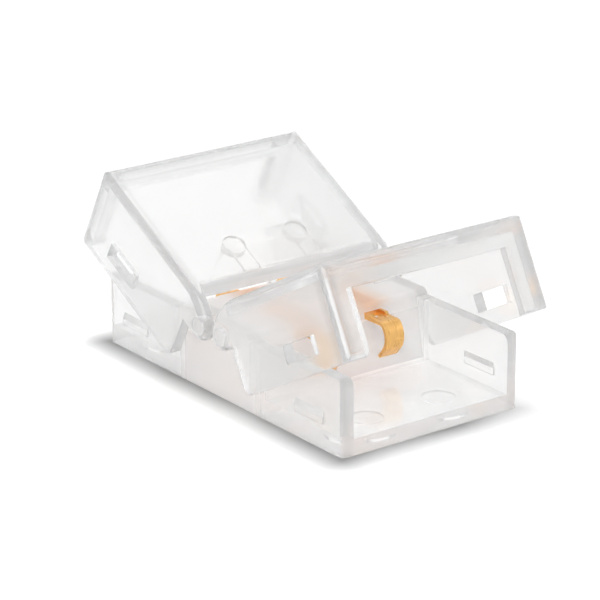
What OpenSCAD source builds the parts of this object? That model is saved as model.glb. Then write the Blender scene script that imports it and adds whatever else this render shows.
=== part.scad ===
// Clear snap-lid connector that joins two ends of a 10 mm LED strip.
// X runs across the strip, Y along it, Z up. The origin is the middle of the underside.
// Each lid is drawn open, as it stands at rest.

/* [Base] */
// Outer width of the base, across the strip
base_w = 12.6; // [12.2:0.1:16]
// Length of the base, along the strip
base_l = 23.2; // [22:0.2:32]
// Height of the tray walls
base_h = 4.55; // [4:0.05:6]
// Thickness of the tray floor
floor_t = 1; // [0.7:0.05:1.3]
// Thickness of the tray side walls
wall_t = 0.8; // [0.5:0.05:1]
// Radius of the upright corners of the base
base_corner_r = 0.3; // [0.1:0.05:0.6]
// Radius at the open ends of the wall tops
wall_end_r = 0.5; // [0.1:0.05:1]
// Diameter of the shallow round marks under the floor
mark_d = 2; // [1:0.1:3]
// Depth of the marks under the floor
mark_depth = 0.12; // [0.05:0.01:0.2]
// Distance between the two marks of a tray
mark_spacing = 5.2; // [3:0.1:8]
// Distance from the end of the base to its marks
mark_inset = 2.6; // [2:0.1:4]

/* [Middle block] */
// Length of the middle block at the floor
block_l = 8; // [7.4:0.1:9]
// Length of the middle block at its top
block_top_l = 6.6; // [6:0.1:7]
// How far the block stands above the tray walls
block_rise = 0.35; // [0.1:0.05:0.5]
// Radius along the top edges of the block
block_r = 0.4; // [0.1:0.05:0.6]

/* [Lids] */
// Thickness of a lid's top panel
panel_t = 0.85; // [0.6:0.05:1.4]
// Gap between the block and the closed lids
block_gap = 0.25; // [0.2:0.05:0.6]
// Thickness of a lid's side walls
lid_wall_t = 0.7; // [0.5:0.05:1]
// Gap between the base and a lid's side wall
side_gap = 0.2; // [0.15:0.05:0.4]
// Thickness of a lid's end wall
end_wall_t = 0.9; // [0.6:0.05:1.4]
// Gap between the base and a closed lid's end wall
end_gap = 0.4; // [0.3:0.05:0.8]
// Height of a closed lid's lower edge above the underside
skirt_lift = 0.45; // [0.1:0.05:1]
// Distance from the middle to the hinge end of a lid
lid_start = 2.3; // [2.2:0.05:3]
// Width of the LED strip that the connector takes
strip_w = 10; // [8:0.1:10.5]
// Room beside the strip in the end wall
strip_gap = 0.6; // [0.2:0.05:0.7]
// How far the end wall hangs below the panel above the strip
lip_drop = 0.8; // [0.4:0.05:1.5]
// Rounding of the panel's top edge at the hinge end
hinge_edge_r = 0.8; // [0.2:0.05:0.8]
// Rounding of the lid's other outer edges
lid_edge_r = 0.55; // [0.1:0.05:0.6]
// How far the lids stand open at rest, in degrees
open_angle = 28; // [10:1:45]

/* [Hinges] */
// Diameter of the hinge pins on the block
pin_d = 1; // [0.8:0.05:1.1]
// Radial clearance between a pin and its ear
pin_gap = 0.05; // [0.02:0.01:0.09]
// Outer diameter of the hinge ears
ear_d = 1.8; // [1.6:0.05:2]
// Thickness of the skin that closes an ear outside its pin
ear_skin = 0.2; // [0.15:0.05:0.3]
// Gap between the ears of the two lids
ear_gap = 0.4; // [0.3:0.05:0.5]
// Depth of the hinge axis below the top of the block
hinge_drop = 0.7; // [0.6:0.05:1]

/* [Snaps] */
// Length of the snap windows in the lids
window_l = 2.9; // [1.5:0.1:4]
// Height of the snap windows
window_h = 1.1; // [0.6:0.05:1.5]
// Distance from the end of the base to the snaps
snap_inset = 2.95; // [2.2:0.05:4]
// Height of the snaps above the underside
snap_z = 1.95; // [1.4:0.05:2.6]
// Play between a snap and its window, all round
snap_play = 0.15; // [0.05:0.05:0.3]
// Gap between a snap and the lid's wall as it swings past
snap_gap = 0.06; // [0.05:0.01:0.1]

/* [Contacts] */
// Distance between the two contacts
contact_spacing = 4.5; // [3.5:0.1:5.5]
// Width of a contact
contact_w = 1.3; // [0.8:0.05:1.6]
// Thickness of the contact metal
contact_t = 0.2; // [0.15:0.01:0.3]
// Depth of a contact's upper face below the top of the block
contact_drop = 0.65; // [0.55:0.05:0.9]
// How far a contact reaches beyond the block top before it bends
reach = 1.5; // [1:0.1:2.2]
// Outer radius of the bend
bend_r = 0.5; // [0.35:0.05:0.6]
// Angle that the bend turns through
bend_turn = 48; // [30:1:60]
// Outer radius of the curved finger
finger_r = 1.2; // [1:0.05:1.6]
// Angle that the finger turns through
finger_turn = 82; // [60:1:95]
// Length of the straight tip of the finger
tip_l = 0.6; // [0.3:0.05:1]
// Height of the flanges along a contact's sides
flange_h = 0.15; // [0.05:0.01:0.2]
// Thickness of the flanges
flange_t = 0.2; // [0.1:0.01:0.25]
// How far the flanges reach beyond the block top
flange_reach = 0.75; // [0.3:0.05:1]
// Length of the hole in a contact, along the strip
hole_l = 0.6; // [0.4:0.05:0.8]
// Width of the hole in a contact
hole_w = 0.5; // [0.3:0.05:0.6]
// Distance from the edge of the block top to the middle of the hole
hole_reach = 0.4; // [0.35:0.05:0.6]
// Clearance round a contact in the block
slot_gap = 0.03; // [0.01:0.01:0.1]
// Diameter of the press bosses under the lids
boss_d = 1.4; // [1.2:0.1:2.4]
// How far a boss hangs below the panel
boss_drop = 0.45; // [0.2:0.05:0.5]
// Width of the ribs behind the bosses
rib_w = 1.1; // [0.4:0.05:1.2]
// How far the ribs hang below the panel
rib_drop = 0.15; // [0.1:0.05:0.2]

/* [Hidden] */
$fn = 64;
eps = 0.01; // overlap of cuts, so that no skin is left
seam_turn = 0.5; // degrees by which the arcs of a contact overlap, so that they join
clear_tint = [0.90, 0.92, 0.93, 0.45];
gold_tint = [0.86, 0.66, 0.34];

block_z = base_h + block_rise;
panel_z = block_z + block_gap;
lid_z = panel_z + panel_t;
lid_inner_w = base_w + 2 * side_gap;
lid_w = lid_inner_w + 2 * lid_wall_t;
end_y = base_l / 2 + end_gap;
lid_y = end_y + end_wall_t;
hinge_y = (ear_d + ear_gap) / 2;
hinge_z = block_z - hinge_drop;
ear_r = ear_d / 2;
arm_end = lid_start + hinge_edge_r;
arm_run = arm_end - hinge_y;
arm_rise = lid_z - hinge_z;
arm_r = (arm_run ^ 2 + arm_rise ^ 2 - ear_r ^ 2) / (2 * (arm_rise - ear_r));
snap_y = base_l / 2 - snap_inset;
snap_proud = side_gap - snap_gap;
contact_z = block_z - contact_drop;
bend_y = block_top_l / 2 + reach;
finger_y = bend_y + (bend_r - finger_r) * sin(bend_turn);
finger_z = contact_z - bend_r + (bend_r - finger_r) * cos(bend_turn);
boss_y = bend_y + bend_r;
hole_y = block_top_l / 2 + hole_reach;
flange_y = block_top_l / 2 + flange_reach;

// Turns a profile drawn in Y and Z into a solid of width w, centred across X
module across(w) {
  rotate([90, 0, 90])
    translate([0, 0, -w / 2])
      linear_extrude(w)
        children();
}

// Turns a profile drawn in X and Z into a solid between two places along Y
module along(y0, y1) {
  translate([0, y1, 0])
    rotate([90, 0, 0])
      linear_extrude(y1 - y0)
        children();
}

// A rectangle from low to high with its own radius at each corner,
// in the order lower left, lower right, upper right, upper left
module soft_rect(low, high, r) {
  difference() {
    translate(low)
      square(high - low);
    soft_corner(low, [1, 1], r[0]);
    soft_corner([high[0], low[1]], [-1, 1], r[1]);
    soft_corner(high, [-1, -1], r[2]);
    soft_corner([low[0], high[1]], [1, -1], r[3]);
  }
}

// What a rounded corner takes away at the point p, for a body that lies towards dir
module soft_corner(p, dir, r) {
  if (r > 0)
    translate(p)
      scale_sign(dir)
        difference() {
          translate([-eps, -eps])
            square(r + eps);
          translate([r, r])
            circle(r);
        }
}

// Mirrors in the plane without changing size
module scale_sign(dir) {
  mirror([dir[0] < 0 ? 1 : 0, 0])
    mirror([0, dir[1] < 0 ? 1 : 0])
      children();
}

// A band of the contact metal that follows a circle between two angles
module arc_band(r, t, a0, a1) {
  far = 2 * r;
  middle = (a0 + a1) / 2;
  intersection() {
    difference() {
      circle(r);
      circle(r - t);
    }
    polygon([
      [0, 0],
      far * [cos(a0), sin(a0)],
      far * [cos(middle), sin(middle)],
      far * [cos(a1), sin(a1)]
    ]);
  }
}

// The shape repeated at both ends of the connector
module both_ends() {
  children();
  rotate([0, 0, 180])
    children();
}

// Base

module base() {
  color(clear_tint)
    difference() {
      union() {
        intersection() {
          tray_body();
          linear_extrude(block_z)
            soft_rect(-[base_w, base_l] / 2, [base_w, base_l] / 2, base_corner_r * [1, 1, 1, 1]);
        }
        hinge_pins();
        both_ends()
          snaps();
      }
      contact_slots();
      both_ends()
        floor_marks();
    }
}

// Floor, side walls and the block between the two trays
module tray_body() {
  across(base_w)
    translate([-base_l / 2, 0])
      square([base_l, floor_t]);
  for (side = [-1, 1])
    translate([side * (base_w - wall_t) / 2, 0, 0])
      across(wall_t)
        soft_rect([-base_l / 2, 0], [base_l / 2, base_h], wall_end_r * [0, 0, 1, 1]);
  across(base_w)
    block_profile();
}

// The block leans back towards its top and has rounded top edges
module block_profile() {
  lean = (block_l - block_top_l) / 2 / (block_z - floor_t);
  shoulder = block_l / 2 - lean * (block_z - block_r - floor_t);
  polygon([
    [-block_l / 2, 0],
    [block_l / 2, 0],
    [block_l / 2, floor_t],
    [shoulder, block_z - block_r],
    [-shoulder, block_z - block_r],
    [-block_l / 2, floor_t]
  ]);
  translate([0, block_z - block_r])
    square([2 * (shoulder - block_r), 2 * block_r], center = true);
  for (side = [-1, 1])
    translate([side * (shoulder - block_r), block_z - block_r])
      circle(block_r);
}

module hinge_pins() {
  pin_l = side_gap + lid_wall_t - ear_skin - pin_gap;
  for (y = [-hinge_y, hinge_y], side = [-1, 1])
    translate([side * base_w / 2, y, hinge_z])
      rotate([0, side * 90, 0])
        translate([0, 0, -eps])
          cylinder(d = pin_d, h = pin_l + eps);
}

// Low wedges on the outside of one tray, thick at the bottom
module snaps() {
  size = [window_l - 2 * snap_play, window_h - 2 * snap_play];
  for (side = [0, 1])
    mirror([side, 0, 0])
      along(snap_y - size[0] / 2, snap_y + size[0] / 2)
        polygon([
          [base_w / 2 - wall_t / 2, snap_z - size[1] / 2],
          [base_w / 2 + snap_proud, snap_z - size[1] / 2],
          [base_w / 2 + snap_proud, snap_z],
          [base_w / 2, snap_z + size[1] / 2],
          [base_w / 2 - wall_t / 2, snap_z + size[1] / 2]
        ]);
}

module contact_slots() {
  slot_h = contact_t + flange_h + 2 * slot_gap;
  for (side = [-1, 1])
    translate([
      side * contact_spacing / 2 - contact_w / 2 - slot_gap,
      -block_l / 2,
      contact_z - contact_t - slot_gap
    ])
      cube([contact_w + 2 * slot_gap, block_l, slot_h]);
}

module floor_marks() {
  for (side = [-1, 1])
    translate([side * mark_spacing / 2, base_l / 2 - mark_inset, -eps])
      cylinder(d = mark_d, h = mark_depth + eps);
}

// Lids

module front_lid() {
  rotate([0, 0, 180])
    rear_lid();
}

module rear_lid() {
  color(clear_tint)
    translate([0, hinge_y, hinge_z])
      rotate([open_angle, 0, 0])
        translate([0, -hinge_y, -hinge_z])
          closed_lid();
}

// One lid as it lies when it is shut, over the rear tray
module closed_lid() {
  difference() {
    lid_shell();
    snap_windows();
  }
  for (side = [0, 1])
    mirror([side, 0, 0])
      hinge_ear();
  for (side = [-1, 1])
    translate([side * contact_spacing / 2, 0, 0])
      press_boss();
}

// Top panel, two side walls, and an end wall that is cut out for the strip
module lid_shell() {
  window_w = strip_w + 2 * strip_gap;
  difference() {
    intersection() {
      across(lid_w)
        soft_rect([lid_start, skirt_lift], [lid_y, lid_z], [lid_edge_r, lid_edge_r, lid_edge_r, hinge_edge_r]);
      along(lid_start, lid_y)
        soft_rect([-lid_w / 2, skirt_lift], [lid_w / 2, lid_z], lid_edge_r * [0, 0, 1, 1]);
      linear_extrude(lid_z)
        soft_rect([-lid_w / 2, lid_start], [lid_w / 2, lid_y], lid_edge_r * [0, 0, 1, 1]);
    }
    translate([-lid_inner_w / 2, lid_start - eps, 0])
      cube([lid_inner_w, end_y - lid_start + eps, panel_z]);
    translate([-window_w / 2, lid_start, 0])
      cube([window_w, lid_y, panel_z - lip_drop]);
  }
}

module snap_windows() {
  translate([-lid_w, snap_y - window_l / 2, snap_z - window_h / 2])
    cube([2 * lid_w, window_l, window_h]);
}

// An arm with a round end, bored from inside for the hinge pin.
// Its upper edge is one wide arc from the round end to the top of the panel.
module hinge_ear() {
  difference() {
    union() {
      translate([lid_inner_w / 2, hinge_y, hinge_z])
        rimmed_disc(ear_r);
      intersection() {
        translate([lid_inner_w / 2, arm_end, lid_z - arm_r])
          rimmed_disc(arm_r);
        across(lid_w)
          arm_outline();
        along(0, arm_end + eps)
          soft_rect([0, hinge_z - ear_r], [lid_w / 2, lid_z], lid_edge_r * [0, 1, 0, 0]);
      }
    }
    translate([lid_inner_w / 2 - eps, hinge_y, hinge_z])
      rotate([0, 90, 0])
        cylinder(d = pin_d + 2 * pin_gap, h = lid_wall_t - ear_skin + eps);
  }
}

// A disc as thick as the lid's wall, with its outer edge rounded
module rimmed_disc(r) {
  rotate([0, 90, 0])
    rotate_extrude()
      soft_rect([0, 0], [r, lid_wall_t], lid_edge_r * [0, 0, 1, 0]);
}

// Keeps the part of the wide arc between the round end and the wall
module arm_outline() {
  middle = [arm_end, lid_z - arm_r];
  tangent = middle + ([hinge_y, hinge_z] - middle) * (arm_r + eps) / (arm_r - ear_r);
  polygon([
    [hinge_y, hinge_z - ear_r],
    [arm_end + eps, hinge_z - ear_r],
    [arm_end + eps, lid_z],
    [tangent[0], lid_z],
    tangent,
    [hinge_y, hinge_z]
  ]);
}

// A round boss that presses on the contact's bend, with a rib back to the hinge end
module press_boss() {
  translate([0, boss_y, panel_z - boss_drop])
    cylinder(d = boss_d, h = boss_drop + eps);
  translate([-rib_w / 2, block_top_l / 2, panel_z - rib_drop])
    cube([rib_w, boss_y - block_top_l / 2, rib_drop + eps]);
}

// Contacts

module left_contact() {
  mirror([1, 0, 0])
    right_contact();
}

// One strip of metal through the block, with a sprung finger over each tray
module right_contact() {
  color(gold_tint)
    translate([contact_spacing / 2, 0, 0])
      difference() {
        union() {
          across(contact_w)
            strap_profile();
          for (side = [-1, 1])
            translate([side * (contact_w - flange_t) / 2, 0, 0])
              flange();
        }
        both_ends()
          translate([-hole_w / 2, hole_y - hole_l / 2, contact_z - 2 * contact_t])
            cube([hole_w, hole_l, 2 * contact_t + eps]);
      }
}

module strap_profile() {
  translate([-bend_y - eps, contact_z - contact_t])
    square([2 * (bend_y + eps), contact_t]);
  for (side = [0, 1])
    mirror([side, 0])
      finger_profile();
}

// The bend, the finger that bulges outwards, and the straight tip that runs back under it
module finger_profile() {
  tip_turn = 90 - bend_turn - finger_turn;
  translate([bend_y, contact_z - bend_r])
    arc_band(bend_r, contact_t, 90 - bend_turn, 90);
  translate([finger_y, finger_z]) {
    arc_band(finger_r, contact_t, tip_turn - seam_turn, 90 + seam_turn - bend_turn);
    rotate(tip_turn)
      translate([finger_r - contact_t, -tip_l])
        square([contact_t, tip_l]);
  }
}

// An upright edge along the flat part of a contact, sloped at both ends
module flange() {
  across(flange_t)
    polygon([
      [-flange_y, contact_z - eps],
      [flange_y, contact_z - eps],
      [flange_y - flange_h, contact_z + flange_h],
      [flange_h - flange_y, contact_z + flange_h]
    ]);
}

base();
front_lid();
rear_lid();
left_contact();
right_contact();
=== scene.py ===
"""Finish, light and camera for a clear snap-lid connector for LED strips. Lengths are in metres."""

from math import cos, radians, sin

import bpy
from mathutils import Matrix, Vector

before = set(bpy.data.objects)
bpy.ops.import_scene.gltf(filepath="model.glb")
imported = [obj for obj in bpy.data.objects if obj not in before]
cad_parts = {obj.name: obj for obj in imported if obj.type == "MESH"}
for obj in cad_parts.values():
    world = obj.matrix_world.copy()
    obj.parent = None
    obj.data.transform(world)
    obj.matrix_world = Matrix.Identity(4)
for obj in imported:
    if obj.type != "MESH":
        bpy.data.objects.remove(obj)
MM = 0.001

# View of the photograph
IMAGE_PX = 600
VIEW_AZIMUTH = radians(36.67)
VIEW_ELEVATION = radians(21.26)
VIEW_ROLL = radians(0.22)
VIEW_DISTANCE = 173.6 * MM
FOCAL_PX = 2937
ORIGIN_PX = (307.7, 373.1)
SENSOR_MM = 36

# Clear plastic
PLASTIC_IOR = 1.585
PLASTIC_TINT = (0.972, 0.974, 0.974, 1)
PLASTIC_ABSORB = (0.93, 0.934, 0.937, 1)
ABSORB_PER_M = 40
MILK_SHARE = 0.19
MILK_THROUGH = 0.6
SHADOW_TINT = (0.96, 0.96, 0.96, 1)
PLASTIC_ROUGH = (0.14, 0.2)
BLOCK_FADE = (3.4 * MM, 4.2 * MM)
BLOCK_ROUGH = 0.3
BLOCK_MILK = 0.6
# Painted light: an orange cast from the gold contacts, painted into the block's colour near them
GOLD_BOUNCE_LIGHT = (1, 0.935, 0.92, 1)
WARM_X = (2.5 * MM, 5 * MM)
WARM_Y = (4 * MM, 8 * MM)
# Painted glow: the gold of the contacts painted onto the top of the block above them
PAINTED_GOLD_GLOW = (1, 0.84, 0.70, 1)
GLOW_SIDE = (0.4 * MM, 1.7 * MM)
GLOW_HEIGHT = (4.3 * MM, 4.8 * MM)
CONTACT_X = 2.25 * MM
WHITE = (1, 1, 1, 1)
# Painted shade: walls seen by their edges are greyed in their colour
RIM_PAINTED_SHADE = (0.80, 0.802, 0.804, 1)
RIM_SOFT = 0.15 * MM
RIM_FACING = (0.4, 0.8)
WELD_GAP = 0.001 * MM
EDGE_ROUND = 0.10 * MM

# Where the walls begin, from the middle of the part or from a lid's hinge
BASE_WALL_X = 5.5 * MM
LID_WALL_X = 6.5 * MM
LID_END_WALL = 10.9 * MM
HINGE_Y = 1.1 * MM
HINGE_Z = 4.2 * MM
LID_OPEN = radians(28)
EDGE_STEPS = 3

# Floor and light
FLOOR_SIZE = 3.0
FLOOR_DROP = 0.02 * MM
FLOOR_COLOUR = (0.88, 0.88, 0.88, 1)
FLOOR_LIFT = 0.25
# Painted contact shadow on the floor beside the base
SHADE_REACH = 1.8 * MM
SHADE_DEPTH = (0.55, 0.8)
SHADE_CHANGE = 90
SHADE_FADE = (2 * MM, 7 * MM)
SHADE_RIGHT = 0.35
BASE_HALF = (6.3 * MM, 11.6 * MM)
UNDER_SOFT = 0.2 * MM
WORLD_FILL = 0.88
LIGHT_BOUNCES = 40


def new_material(name):
    """An empty node material, its nodes, its links and its output."""
    material = bpy.data.materials.new(name)
    material.use_nodes = True
    nodes, links = material.node_tree.nodes, material.node_tree.links
    nodes.clear()
    output = nodes.new("ShaderNodeOutputMaterial")
    return material, nodes, links, output


def noise(nodes, links, scale, detail=2.0, stretch=(1, 1, 1)):
    """Noise in the object's own coordinates, with scale in features per metre."""
    place = nodes.new("ShaderNodeTexCoord")
    mapping = nodes.new("ShaderNodeMapping")
    mapping.inputs["Scale"].default_value = stretch
    texture = nodes.new("ShaderNodeTexNoise")
    texture.inputs["Scale"].default_value = scale
    texture.inputs["Detail"].default_value = detail
    links.new(place.outputs["Object"], mapping.inputs["Vector"])
    links.new(mapping.outputs["Vector"], texture.inputs["Vector"])
    return texture.outputs["Fac"]


def spread(nodes, links, value, low, high, start=0.3, end=0.7):
    """Takes noise between start and end to values between low and high."""
    ramp = nodes.new("ShaderNodeMapRange")
    ramp.inputs["From Min"].default_value = start
    ramp.inputs["From Max"].default_value = end
    ramp.inputs["To Min"].default_value = low
    ramp.inputs["To Max"].default_value = high
    links.new(value, ramp.inputs["Value"])
    return ramp.outputs["Result"]


def bump(nodes, links, height, distance, strength=1.0):
    """A bump of the given depth, as a normal."""
    node = nodes.new("ShaderNodeBump")
    node.inputs["Distance"].default_value = distance
    node.inputs["Strength"].default_value = strength
    links.new(height, node.inputs["Height"])
    return node.outputs["Normal"]


def reach(nodes, links, axis, start, end):
    """1 in the middle of the part and 0 beyond the end, along one of its axes."""
    place = nodes.new("ShaderNodeTexCoord")
    split = nodes.new("ShaderNodeSeparateXYZ")
    size = nodes.new("ShaderNodeMath")
    size.operation = "ABSOLUTE"
    links.new(place.outputs["Object"], split.inputs[0])
    links.new(split.outputs[axis], size.inputs[0])
    return spread(nodes, links, size.outputs[0], 1, 0, start, end)


def times(nodes, links, a, b):
    product = nodes.new("ShaderNodeMath")
    product.operation = "MULTIPLY"
    links.new(a, product.inputs[0])
    links.new(b, product.inputs[1])
    return product.outputs[0]


def blend(nodes, links, share, a, b):
    """The mix of two colours by a share."""
    mix = nodes.new("ShaderNodeMix")
    mix.data_type = "RGBA"
    links.new(share, mix.inputs["Factor"])
    mix.inputs["A"].default_value = a
    mix.inputs["B"].default_value = b
    return mix.outputs["Result"]


def product(nodes, links, a, b):
    """Two colours multiplied."""
    mix = nodes.new("ShaderNodeMix")
    mix.data_type = "RGBA"
    mix.blend_type = "MULTIPLY"
    mix.inputs["Factor"].default_value = 1
    links.new(a, mix.inputs["A"])
    links.new(b, mix.inputs["B"])
    return mix.outputs["Result"]


def along(nodes, links, output, direction):
    """How far a place or a normal of the part lies along a direction."""
    place = nodes.new("ShaderNodeTexCoord")
    dot = nodes.new("ShaderNodeVectorMath")
    dot.operation = "DOT_PRODUCT"
    links.new(place.outputs[output], dot.inputs[0])
    dot.inputs[1].default_value = direction
    size = nodes.new("ShaderNodeMath")
    size.operation = "ABSOLUTE"
    links.new(dot.outputs["Value"], size.inputs[0])
    return size.outputs[0]


def wall_edge_shade_mask(nodes, links, direction, start):
    """1 where a wall that faces a direction is seen by its edge, past a distance from the middle: the mask of the
    painted rim shade.
    """
    past = spread(nodes, links, along(nodes, links, "Object", direction), 0, 1, start - RIM_SOFT, start + RIM_SOFT)
    edge_on = spread(nodes, links, along(nodes, links, "Normal", direction), 1, 0, *RIM_FACING)
    return times(nodes, links, past, edge_on)


def painted_rim_shade(nodes, links, walls):
    """1 on the edges of any of the walls, each given by the way it faces and its distance: where a painted shade
    greys the rim.
    """
    total = None
    for direction, start in walls:
        one = wall_edge_shade_mask(nodes, links, direction, start)
        if total:
            highest = nodes.new("ShaderNodeMath")
            highest.operation = "MAXIMUM"
            links.new(total, highest.inputs[0])
            links.new(one, highest.inputs[1])
            one = highest.outputs[0]
        total = one
    return total


def painted_glow_mask(nodes, links):
    """1 on the top of the block above a contact: the mask of a painted glow that stands in for the gold seen
    through.
    """
    place = nodes.new("ShaderNodeTexCoord")
    split = nodes.new("ShaderNodeSeparateXYZ")
    links.new(place.outputs["Object"], split.inputs[0])
    beside = nodes.new("ShaderNodeMath")
    beside.operation = "SUBTRACT"
    links.new(along(nodes, links, "Object", (1, 0, 0)), beside.inputs[0])
    beside.inputs[1].default_value = CONTACT_X
    size = nodes.new("ShaderNodeMath")
    size.operation = "ABSOLUTE"
    links.new(beside.outputs[0], size.inputs[0])
    return times(
        nodes, links,
        spread(nodes, links, size.outputs[0], 1, 0, *GLOW_SIDE),
        spread(nodes, links, split.outputs["Z"], 0, 1, *GLOW_HEIGHT),
    )


def clear_plastic(name, walls, block=False):
    """Moulded polycarbonate: clear with a faint milkiness, and a wall that isn't quite flat.

    A painted shade greys the walls where they are seen by their edges. The block in the middle of the base is
    thick: it is milkier; painted orange light from the contacts tints it near them, and a painted glow of the gold
    lies on its top above each contact.
    """
    material, nodes, links, output = new_material(name)
    # painted shade greys the colour where walls are seen by their edges
    colour = blend(nodes, links, painted_rim_shade(nodes, links, walls), PLASTIC_TINT, RIM_PAINTED_SHADE)
    rough = spread(nodes, links, noise(nodes, links, 700), *PLASTIC_ROUGH)
    glass = nodes.new("ShaderNodeBsdfPrincipled")
    glass.inputs["IOR"].default_value = PLASTIC_IOR
    glass.inputs["Transmission Weight"].default_value = 1
    share = nodes.new("ShaderNodeMixShader")
    share.inputs["Fac"].default_value = MILK_SHARE
    if block:
        thick = reach(nodes, links, "Y", *BLOCK_FADE)
        # painted orange light from the gold contacts, over the block near them
        bounce_light_mask = times(
            nodes, links,
            times(nodes, links, reach(nodes, links, "X", *WARM_X), reach(nodes, links, "Y", *WARM_Y)),
            spread(nodes, links, noise(nodes, links, 300), 0.5, 1),
        )
        colour = product(nodes, links, colour, blend(nodes, links, bounce_light_mask, WHITE, GOLD_BOUNCE_LIGHT))
        # painted glow of the gold on the block's top above each contact
        colour = product(nodes, links, colour, blend(nodes, links, painted_glow_mask(nodes, links), WHITE, PAINTED_GOLD_GLOW))
        links.new(spread(nodes, links, thick, MILK_SHARE, BLOCK_MILK, 0, 1), share.inputs["Fac"])
        highest = nodes.new("ShaderNodeMath")
        highest.operation = "MAXIMUM"
        links.new(rough, highest.inputs[0])
        links.new(spread(nodes, links, thick, 0, BLOCK_ROUGH, 0, 1), highest.inputs[1])
        rough = highest.outputs[0]
    milk = scatter(nodes, links, colour)
    links.new(colour, glass.inputs["Base Color"])
    links.new(rough, glass.inputs["Roughness"])
    glass.inputs["Coat Weight"].default_value = 0.4
    glass.inputs["Coat Roughness"].default_value = 0.06
    links.new(
        bump(nodes, links, noise(nodes, links, 500, 3), 0.02 * MM, 0.6),
        glass.inputs["Normal"],
    )
    links.new(glass.outputs[0], share.inputs[1])
    links.new(milk, share.inputs[2])
    light_path = nodes.new("ShaderNodeLightPath")
    through = nodes.new("ShaderNodeBsdfTransparent")
    through.inputs["Color"].default_value = SHADOW_TINT
    shadow_mix = nodes.new("ShaderNodeMixShader")
    links.new(light_path.outputs["Is Shadow Ray"], shadow_mix.inputs["Fac"])
    links.new(share.outputs[0], shadow_mix.inputs[1])
    links.new(through.outputs[0], shadow_mix.inputs[2])
    links.new(shadow_mix.outputs[0], output.inputs["Surface"])
    absorb = nodes.new("ShaderNodeVolumeAbsorption")
    absorb.inputs["Color"].default_value = PLASTIC_ABSORB
    absorb.inputs["Density"].default_value = ABSORB_PER_M
    links.new(absorb.outputs[0], output.inputs["Volume"])
    return material


def scatter(nodes, links, colour):
    """What makes the plastic milky: it sends light back and lets some through."""
    back = nodes.new("ShaderNodeBsdfDiffuse")
    links.new(colour, back.inputs["Color"])
    through = nodes.new("ShaderNodeBsdfTranslucent")
    links.new(colour, through.inputs["Color"])
    both = nodes.new("ShaderNodeMixShader")
    both.inputs["Fac"].default_value = MILK_THROUGH
    links.new(back.outputs[0], both.inputs[1])
    links.new(through.outputs[0], both.inputs[2])
    return both.outputs[0]


def gold_plate():
    """Gold plating on stamped metal, with faint rolling lines along the strip."""
    material, nodes, links, output = new_material("gold_plate")
    metal = nodes.new("ShaderNodeBsdfPrincipled")
    metal.inputs["Metallic"].default_value = 1.0
    lines = noise(nodes, links, 900, 3, (6, 1, 1))
    ramp = nodes.new("ShaderNodeValToRGB")
    ramp.color_ramp.elements[0].position = 0.3
    ramp.color_ramp.elements[0].color = (0.78, 0.44, 0.145, 1)
    ramp.color_ramp.elements[1].position = 0.7
    ramp.color_ramp.elements[1].color = (0.92, 0.55, 0.20, 1)
    links.new(lines, ramp.inputs["Fac"])
    links.new(ramp.outputs["Color"], metal.inputs["Base Color"])
    links.new(spread(nodes, links, lines, 0.25, 0.32), metal.inputs["Roughness"])
    links.new(bump(nodes, links, lines, 0.001 * MM, 0.3), metal.inputs["Normal"])
    links.new(metal.outputs[0], output.inputs["Surface"])
    return material


def contact_shade(nodes, links):
    """How light the floor is: a painted shadow, dark in a narrow soft band beside the base, and plain under it."""
    place = nodes.new("ShaderNodeTexCoord")
    last = place.outputs["Object"]
    for operation, value in (("ABSOLUTE", None), ("SUBTRACT", (*BASE_HALF, 0)), ("MAXIMUM", (0, 0, 0)), ("LENGTH", None)):
        step = nodes.new("ShaderNodeVectorMath")
        step.operation = operation
        links.new(last, step.inputs[0])
        if value:
            step.inputs[1].default_value = value
        last = step.outputs["Value" if operation == "LENGTH" else "Vector"]
    depth = times(
        nodes, links,
        spread(nodes, links, last, 1, 0, 0, SHADE_REACH),
        spread(nodes, links, noise(nodes, links, SHADE_CHANGE), *SHADE_DEPTH),
    )
    split = nodes.new("ShaderNodeSeparateXYZ")
    links.new(place.outputs["Object"], split.inputs[0])
    depth = times(nodes, links, depth, spread(nodes, links, split.outputs["X"], 1, SHADE_RIGHT, *SHADE_FADE))
    under = times(
        nodes, links,
        reach(nodes, links, "X", BASE_HALF[0] - UNDER_SOFT, BASE_HALF[0]),
        reach(nodes, links, "Y", BASE_HALF[1] - UNDER_SOFT, BASE_HALF[1]),
    )
    outside = spread(nodes, links, under, 1, 0, 0, 1)
    return spread(nodes, links, times(nodes, links, depth, outside), 1, 0, 0, 1)


def floor_material():
    """White floor that keeps shadows and has a painted contact shadow beside the base; rays that show it see it a
    little brighter.
    """
    material, nodes, links, output = new_material("floor")
    shade = contact_shade(nodes, links)
    plain = nodes.new("ShaderNodeBsdfDiffuse")
    links.new(blend(nodes, links, shade, (0, 0, 0, 1), FLOOR_COLOUR), plain.inputs["Color"])
    lift = nodes.new("ShaderNodeEmission")
    links.new(spread(nodes, links, shade, 0, FLOOR_LIFT, 0, 1), lift.inputs["Strength"])
    lit = nodes.new("ShaderNodeAddShader")
    links.new(plain.outputs[0], lit.inputs[0])
    links.new(lift.outputs[0], lit.inputs[1])
    seen = shown_ray(nodes, links)
    choose = nodes.new("ShaderNodeMixShader")
    links.new(seen, choose.inputs["Fac"])
    links.new(plain.outputs[0], choose.inputs[1])
    links.new(lit.outputs[0], choose.inputs[2])
    links.new(choose.outputs[0], output.inputs["Surface"])
    return material


def shown_ray(nodes, links):
    """1 for rays that show what they meet: from the camera, from gloss or through glass."""
    light_path = nodes.new("ShaderNodeLightPath")
    total = light_path.outputs["Is Camera Ray"]
    for name in ("Is Glossy Ray", "Is Transmission Ray"):
        add = nodes.new("ShaderNodeMath")
        add.operation = "MAXIMUM"
        links.new(total, add.inputs[0])
        links.new(light_path.outputs[name], add.inputs[1])
        total = add.outputs[0]
    return total


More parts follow.
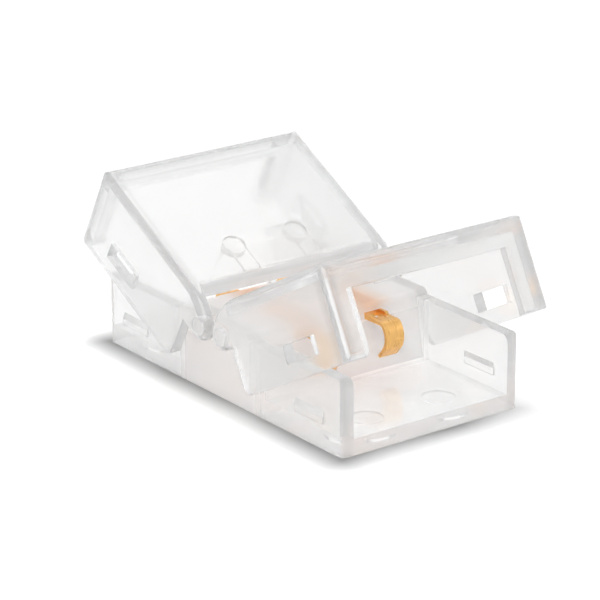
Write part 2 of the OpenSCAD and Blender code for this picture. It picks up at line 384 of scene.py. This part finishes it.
def make_world():
    """White where it shows, and a plain fill for the rest."""
    world = bpy.data.worlds.new("studio")
    bpy.context.scene.world = world
    world.use_nodes = True
    nodes, links = world.node_tree.nodes, world.node_tree.links
    nodes.clear()
    output = nodes.new("ShaderNodeOutputWorld")
    fill = nodes.new("ShaderNodeBackground")
    fill.inputs["Strength"].default_value = WORLD_FILL
    white = nodes.new("ShaderNodeBackground")
    white.inputs["Color"].default_value = (1, 1, 1, 1)
    choose = nodes.new("ShaderNodeMixShader")
    links.new(shown_ray(nodes, links), choose.inputs["Fac"])
    links.new(fill.outputs[0], choose.inputs[1])
    links.new(white.outputs[0], choose.inputs[2])
    links.new(choose.outputs[0], output.inputs["Surface"])


def make_floor():
    bpy.ops.mesh.primitive_plane_add(size=FLOOR_SIZE, location=(0, 0, -FLOOR_DROP))
    floor = bpy.context.object
    floor.name = "floor"
    floor.data.materials.append(floor_material())


def make_light(name, place, size, power):
    """A soft square lamp that points at the origin."""
    data = bpy.data.lights.new(name, "AREA")
    data.size = size
    data.energy = power
    lamp = bpy.data.objects.new(name, data)
    lamp.location = place
    lamp.rotation_euler = Vector(place).to_track_quat("Z", "Y").to_euler()
    bpy.context.collection.objects.link(lamp)


def make_camera():
    """The fitted view: the camera turns so that the origin falls on its pixel, with no shift."""
    back = Vector((
        -sin(VIEW_AZIMUTH) * cos(VIEW_ELEVATION),
        -cos(VIEW_AZIMUTH) * cos(VIEW_ELEVATION),
        sin(VIEW_ELEVATION),
    ))
    right = Vector((cos(VIEW_AZIMUTH), -sin(VIEW_AZIMUTH), 0))
    up = back.cross(right)
    roll = Matrix.Rotation(-VIEW_ROLL, 3, back)
    right, up = roll @ right, roll @ up
    per_px = VIEW_DISTANCE / FOCAL_PX
    offset = right * (IMAGE_PX / 2 - ORIGIN_PX[0]) - up * (IMAGE_PX / 2 - ORIGIN_PX[1])
    target = offset * per_px
    place = back * VIEW_DISTANCE
    out = (place - target).normalized()
    across = up.cross(out).normalized()
    data = bpy.data.cameras.new("camera")
    data.sensor_width = SENSOR_MM
    data.lens = SENSOR_MM * FOCAL_PX / IMAGE_PX
    data.clip_start = VIEW_DISTANCE * 0.05
    data.clip_end = 10
    camera = bpy.data.objects.new("camera", data)
    turn = Matrix((across, out.cross(across), out)).transposed()
    camera.matrix_world = Matrix.Translation(place) @ turn.to_4x4()
    bpy.context.collection.objects.link(camera)
    bpy.context.scene.camera = camera


def smooth(node):
    """Shades a moulding smooth."""
    for face in node.data.polygons:
        face.use_smooth = True


def soften(node):
    """Rounds a lid's edges a little and keeps its flat faces flat."""
    weld = node.modifiers.new("weld", "WELD")
    weld.merge_threshold = WELD_GAP
    rounding = node.modifiers.new("edges", "BEVEL")
    rounding.width = EDGE_ROUND
    rounding.segments = EDGE_STEPS
    rounding.limit_method = "ANGLE"
    rounding.angle_limit = radians(35)
    rounding.use_clamp_overlap = True
    flat = node.modifiers.new("flat", "WEIGHTED_NORMAL")
    flat.mode = "FACE_AREA"
    flat.weight = 100


def lid_walls(side):
    """The side walls and the end wall of an open lid, for its painted rim shade."""
    out = Vector((0, side * cos(LID_OPEN), sin(LID_OPEN)))
    hinge = Vector((0, side * HINGE_Y, HINGE_Z))
    return [((1, 0, 0), LID_WALL_X), (tuple(out), LID_END_WALL + hinge.dot(out))]


def dress(node, material):
    node.data.materials.clear()
    node.data.materials.append(material)


def main():
    scene = bpy.context.scene
    scene.view_settings.view_transform = "Standard"
    for name in ("max_bounces", "transmission_bounces", "glossy_bounces"):
        setattr(scene.cycles, name, LIGHT_BOUNCES)
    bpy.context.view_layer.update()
    finishes = {
        "base": clear_plastic("clear_plastic_base", [((1, 0, 0), BASE_WALL_X)], block=True),
        "front_lid": clear_plastic("clear_plastic_front", lid_walls(-1)),
        "rear_lid": clear_plastic("clear_plastic_rear", lid_walls(1)),
    }
    for name, plastic in finishes.items():
        dress(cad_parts[name], plastic)
        smooth(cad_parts[name])
        if name != "base":
            soften(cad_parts[name])
    gold = gold_plate()
    for name in ("left_contact", "right_contact"):
        dress(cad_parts[name], gold)
    make_floor()
    make_world()
    make_light("top", (0.16, 0.20, 0.45), 0.25, 0.22)
    make_light("front", (-0.25, -0.30, 0.25), 0.3, 0.85)
    make_camera()


main()
